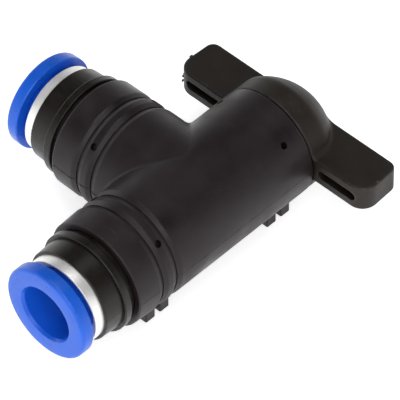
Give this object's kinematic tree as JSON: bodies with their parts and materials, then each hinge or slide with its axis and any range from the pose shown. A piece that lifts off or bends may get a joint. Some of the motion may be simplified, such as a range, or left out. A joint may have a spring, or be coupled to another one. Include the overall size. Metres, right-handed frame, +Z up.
{
  "type": "elbow ball valve",
  "caption": "Plastic elbow ball valve for 8 mm tube, with push-in tube connections and a T-shaped quarter-turn handle in line with the main arm.",
  "frame": {"origin": "centre of the mouth of the front tube bore, in the front release sleeve at rest", "axes": "+Y inwards along the main arm to the handle, -X outwards along the side arm, +Z up from the feet"},
  "size_m": [0.0445, 0.0505, 0.0171],
  "materials": {
    "black_moulding": "satin, fine grain",
    "black_cartridge": "satin, fine grain",
    "black_handle": "fine matt grain",
    "blue_moulding": "semi-gloss",
    "plated_ring": "turned, bright plate",
    "stainless_strip": "bright rolled strip",
    "grey_moulding": "plain",
    "seal_rubber": "plain",
    "plated_brass": "polished, bright plate",
    "seat_moulding": "waxy"
  },
  "bodies": {
    "housing": {"body": "black_moulding", "front_cartridge": "black_cartridge", "side_cartridge": "black_cartridge", "front_collar_ring": "plated_ring", "side_collar_ring": "plated_ring", "front_claw_ring": "stainless_strip", "side_claw_ring": "stainless_strip", "front_seal_spacer": "grey_moulding", "side_seal_spacer": "grey_moulding", "front_tube_seal": "seal_rubber", "side_tube_seal": "seal_rubber", "front_cartridge_o_ring": "seal_rubber", "side_cartridge_o_ring": "seal_rubber", "front_ball_seat": "seat_moulding", "side_ball_seat": "seat_moulding", "rear_ball_seat": "seat_moulding", "thrust_washer": "seat_moulding", "gland_bush": "black_cartridge", "gland_o_ring": "seal_rubber"},
    "handle": {"handle": "black_handle", "spindle": "plated_brass", "valve_ball": "plated_brass", "inner_spindle_o_ring": "seal_rubber", "outer_spindle_o_ring": "seal_rubber"},
    "front_sleeve": {"front_release_sleeve": "blue_moulding"},
    "side_sleeve": {"side_release_sleeve": "blue_moulding"}
  },
  "joints": [
    {"name": "handle_turn", "type": "hinge", "parent": "housing", "child": "handle", "pos_m": [0, 0.02705, 0], "axis": [0, 1, 0], "range_deg": [0, 90]},
    {"name": "front_release_push", "type": "slide", "parent": "housing", "child": "front_sleeve", "axis": [0, 1, 0], "range_m": [0, 0.0006], "stiffness_N_per_m": 300, "springref_m": -0.0005},
    {"name": "side_release_push", "type": "slide", "parent": "housing", "child": "side_sleeve", "axis": [1, 0, 0], "range_m": [0, 0.0006], "stiffness_N_per_m": 300, "springref_m": -0.0005}
  ]
}
